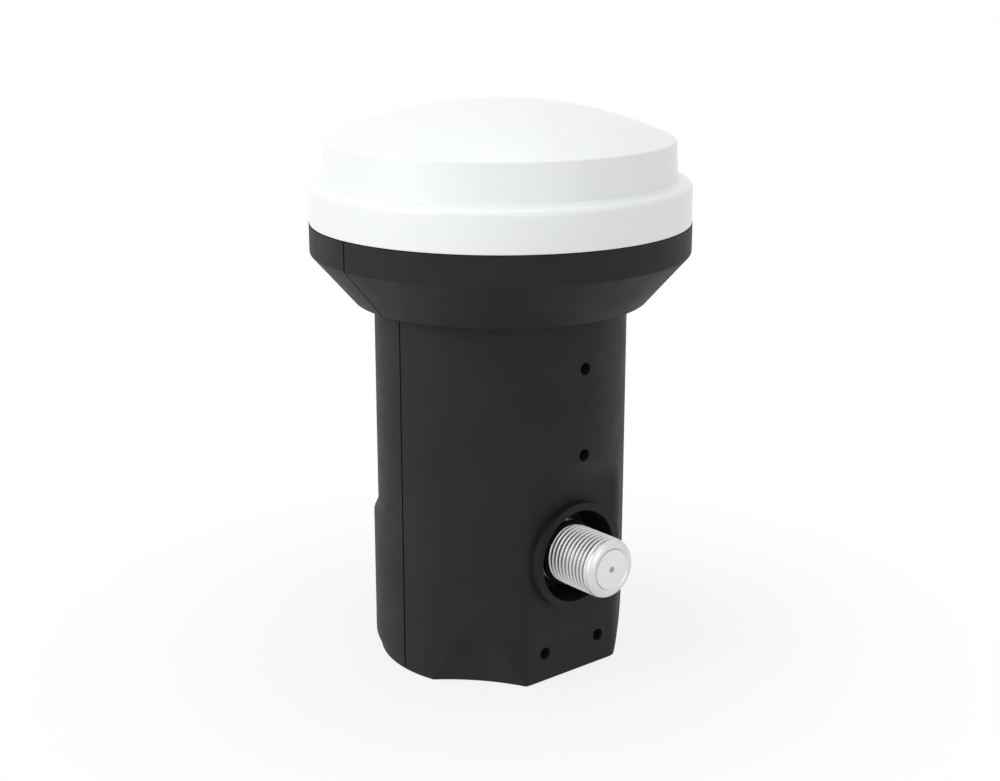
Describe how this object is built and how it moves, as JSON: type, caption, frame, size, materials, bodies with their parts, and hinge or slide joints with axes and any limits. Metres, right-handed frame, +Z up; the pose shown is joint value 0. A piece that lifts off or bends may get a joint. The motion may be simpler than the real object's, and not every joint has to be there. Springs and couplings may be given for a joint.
{
  "type": "satellite lnb",
  "caption": "Satellite dish LNB: black neck with a bell-shaped head, white domed cap and a threaded coaxial connector in a round well on a flat.",
  "frame": {"origin": "centre of the closed lower end, on the neck's axis", "axes": "+Z up the neck's axis towards the cap; the connector points along -Y; +X is across it"},
  "size_m": [0.06, 0.06, 0.0895],
  "materials": {
    "shell_plastic": "moulded black, fine satin grain",
    "cap_plastic": "moulded white, gloss",
    "nickel": "nickel plate on brass",
    "insulator_plastic": "natural white",
    "contact_bronze": "tinned spring bronze",
    "seal_rubber": "moulded",
    "cast_metal": "as cast",
    "board_laminate": "green solder mask",
    "screw_steel": "zinc plated",
    "probe_brass": "plated",
    "sleeve_plastic": "natural white",
    "chip_plastic": "moulded black",
    "crystal_can": "plated can",
    "ceramic": "fired ceramic"
  },
  "bodies": {
    "root": {"radome_cap": "cap_plastic", "cap_seal": "seal_rubber", "front_shell": "shell_plastic", "rear_shell": "shell_plastic", "horn_casting": "cast_metal", "main_board": "board_laminate", "shield_cover": "cast_metal", "cover_screws": "screw_steel", "vertical_probe": "probe_brass", "vertical_probe_sleeve": "sleeve_plastic", "horizontal_probe": "probe_brass", "horizontal_probe_sleeve": "sleeve_plastic", "isolation_rod": "probe_brass", "connector_body": "nickel", "connector_insulator": "insulator_plastic", "connector_contact": "contact_bronze", "connector_seal": "seal_rubber", "amplifier_transistors": "chip_plastic", "converter_chip": "chip_plastic", "reference_crystal": "crystal_can", "voltage_regulator": "chip_plastic", "supply_inductor": "chip_plastic", "chip_parts": "ceramic"}
  },
  "joints": []
}
